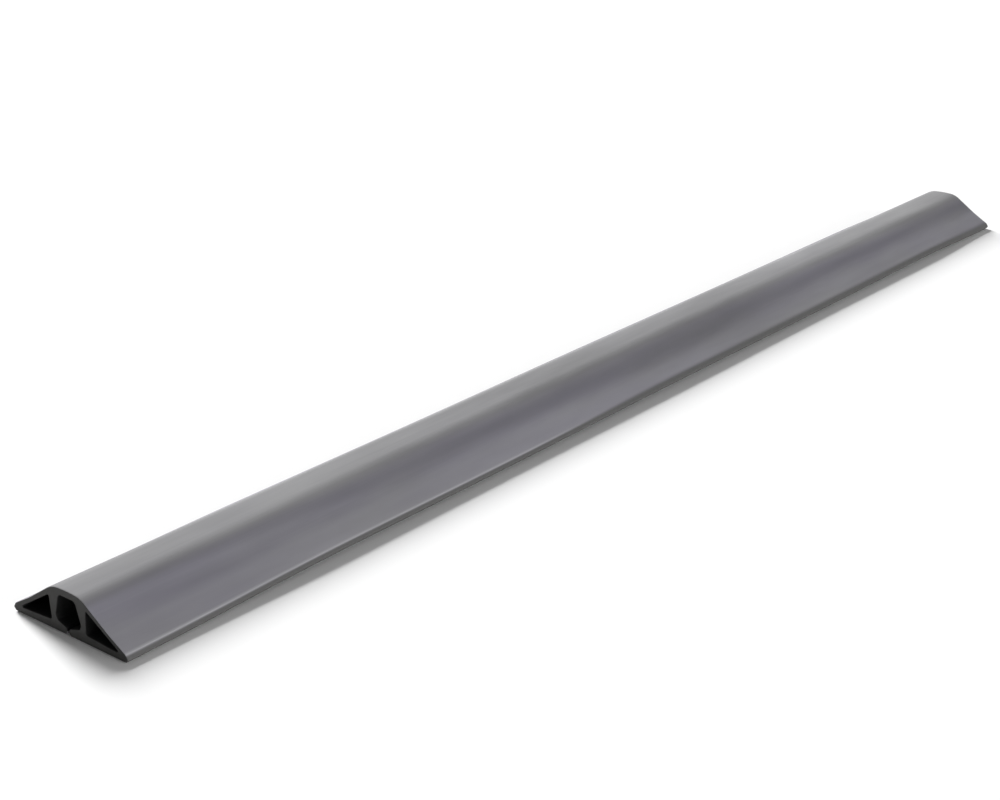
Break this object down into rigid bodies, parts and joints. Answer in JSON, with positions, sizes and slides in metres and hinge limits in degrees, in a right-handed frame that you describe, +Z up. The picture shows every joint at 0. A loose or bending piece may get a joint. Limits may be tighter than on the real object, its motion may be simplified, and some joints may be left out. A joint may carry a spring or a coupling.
{
  "type": "cable protector ramp",
  "caption": "Long soft floor cable cover: low hump with a flat crown, sloping flanks with rounded toes, a domed middle channel slit below, and a triangular channel in each flank.",
  "frame": {"origin": "middle of the footprint, on the underside", "axes": "+X across the strip, +Y along the strip, +Z up out of the floor"},
  "size_m": [0.092, 1, 0.0263],
  "materials": {
    "soft_pvc": "satin"
  },
  "bodies": {
    "crown": {"crown": "soft_pvc"},
    "left_half": {"left_shoulder": "soft_pvc", "left_ramp": "soft_pvc", "left_toe": "soft_pvc", "left_base": "soft_pvc", "left_web": "soft_pvc"},
    "right_half": {"right_shoulder": "soft_pvc", "right_ramp": "soft_pvc", "right_toe": "soft_pvc", "right_base": "soft_pvc", "right_web": "soft_pvc"},
    "left_lip": {"left_lip": "soft_pvc"},
    "right_lip": {"right_lip": "soft_pvc"}
  },
  "joints": [
    {"name": "left_crown_flex", "type": "hinge", "parent": "crown", "child": "left_half", "pos_m": [-0.0046, 0, 0.02455], "axis": [0, 1, 0], "range_deg": [0, 25], "stiffness_Nm_per_rad": 4.5},
    {"name": "right_crown_flex", "type": "hinge", "parent": "crown", "child": "right_half", "pos_m": [0.0046, 0, 0.02455], "axis": [0, -1, 0], "range_deg": [0, 25], "stiffness_Nm_per_rad": 4.5},
    {"name": "left_lip_flex", "type": "hinge", "parent": "left_half", "child": "left_lip", "pos_m": [-0.0096, 0, 0.0032], "axis": [0, -1, 0], "range_deg": [-20, 20], "stiffness_Nm_per_rad": 5},
    {"name": "right_lip_flex", "type": "hinge", "parent": "right_half", "child": "right_lip", "pos_m": [0.0096, 0, 0.0032], "axis": [0, 1, 0], "range_deg": [-20, 20], "stiffness_Nm_per_rad": 5}
  ]
}
